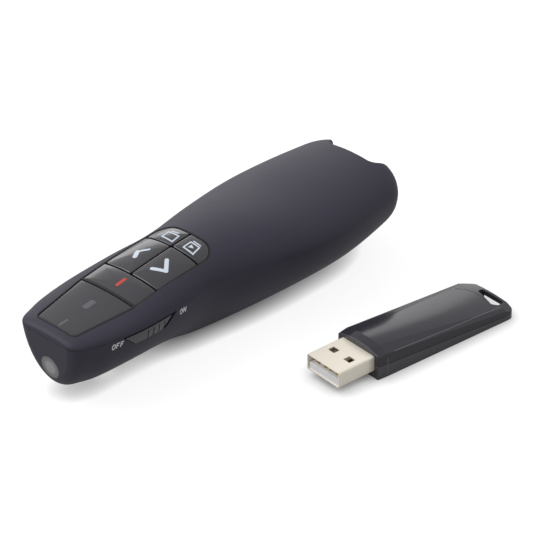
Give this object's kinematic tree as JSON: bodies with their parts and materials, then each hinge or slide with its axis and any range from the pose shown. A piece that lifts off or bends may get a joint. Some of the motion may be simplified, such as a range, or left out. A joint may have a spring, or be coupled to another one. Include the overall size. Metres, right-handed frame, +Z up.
{
  "type": "wireless presentation clicker",
  "caption": "Wireless presentation remote with laser pointer and press keys, power slide switch, sliding battery door and a USB plug-in receiver that stows in its tail.",
  "frame": {"origin": "centre of the small flat under the belly that the handset stands on, on the table", "axes": "+Y out of the laser window at the nose, +Z up through the keypad, +X to the right of a user who looks along +Y"},
  "size_m": [0.0786, 0.1151, 0.0269],
  "materials": {
    "shell_grey": "satin",
    "key_grey": "satin",
    "panel_smoke": "satin",
    "inner_black": "matt",
    "board_green": "satin",
    "chip_black": "matt",
    "switch_black": "matt",
    "contact_steel": "plated",
    "plug_steel": "plated",
    "barrel_brass": "turned",
    "diode_gold": "plated",
    "window_clear": "clear",
    "lamp_clear": "clear",
    "cell_case": "printed sleeve",
    "tongue_white": "matt",
    "contact_gold": "plated",
    "receiver_gloss": "gloss",
    "receiver_matt": "satin",
    "screw_steel": "black oxide"
  },
  "bodies": {
    "handset": {"bottom_shell": "shell_grey", "top_shell": "shell_grey", "indicator_panel": "panel_smoke", "key_guide": "inner_black", "main_board": "board_green", "switch_housings": "switch_black", "indicator_lamps": "lamp_clear", "control_chip": "chip_black", "radio_chip": "chip_black", "board_crystal": "contact_steel", "board_capacitors": "chip_black", "board_screws": "screw_steel", "laser_barrel": "barrel_brass", "laser_collimator": "window_clear", "laser_diode": "diode_gold", "focus_sleeve": "inner_black", "laser_window": "window_clear", "battery_left": "cell_case", "battery_right": "cell_case", "contact_plates": "contact_steel", "contact_springs": "contact_steel", "receiver_tray": "inner_black", "slide_switch": "contact_steel", "shell_screws": "screw_steel"},
    "laser_key": {"laser_key": "key_grey", "laser_plunger": "switch_black"},
    "next_key": {"next_key": "key_grey", "next_plunger": "switch_black"},
    "previous_key": {"previous_key": "key_grey", "previous_plunger": "switch_black"},
    "start_show_key": {"start_show_key": "key_grey", "start_show_plunger": "switch_black"},
    "blank_screen_key": {"blank_screen_key": "key_grey", "blank_screen_plunger": "switch_black"},
    "power_slider": {"power_slider": "key_grey", "switch_toggle": "switch_black"},
    "battery_door": {"battery_door": "shell_grey"},
    "receiver": {"receiver_top": "receiver_gloss", "receiver_bottom": "receiver_matt", "receiver_board": "board_green", "receiver_chip": "chip_black", "receiver_crystal": "contact_steel", "receiver_memory": "chip_black", "plug_shell": "plug_steel", "plug_tongue": "tongue_white", "plug_contacts": "contact_gold"}
  },
  "joints": [
    {"name": "laser_press", "type": "slide", "parent": "handset", "child": "laser_key", "axis": [0, -0.1212, -0.9926], "range_m": [0, 0.0005], "stiffness_N_per_m": 1200},
    {"name": "next_press", "type": "slide", "parent": "handset", "child": "next_key", "axis": [0, -0.1212, -0.9926], "range_m": [0, 0.0005], "stiffness_N_per_m": 1200},
    {"name": "previous_press", "type": "slide", "parent": "handset", "child": "previous_key", "axis": [0, -0.1212, -0.9926], "range_m": [0, 0.0005], "stiffness_N_per_m": 1200},
    {"name": "start_show_press", "type": "slide", "parent": "handset", "child": "start_show_key", "axis": [0, -0.1212, -0.9926], "range_m": [0, 0.0005], "stiffness_N_per_m": 1200},
    {"name": "blank_screen_press", "type": "slide", "parent": "handset", "child": "blank_screen_key", "axis": [0, -0.1212, -0.9926], "range_m": [0, 0.0005], "stiffness_N_per_m": 1200},
    {"name": "power_slide", "type": "slide", "parent": "handset", "child": "power_slider", "axis": [0, -1, 0], "range_m": [0, 0.0015]},
    {"name": "door_slide", "type": "slide", "parent": "handset", "child": "battery_door", "axis": [0, -1, 0], "range_m": [0, 0.062]},
    {"name": "receiver_lift", "type": "slide", "parent": "handset", "child": "receiver", "axis": [0, 0, 1], "range_m": [0, 0.04]}
  ]
}
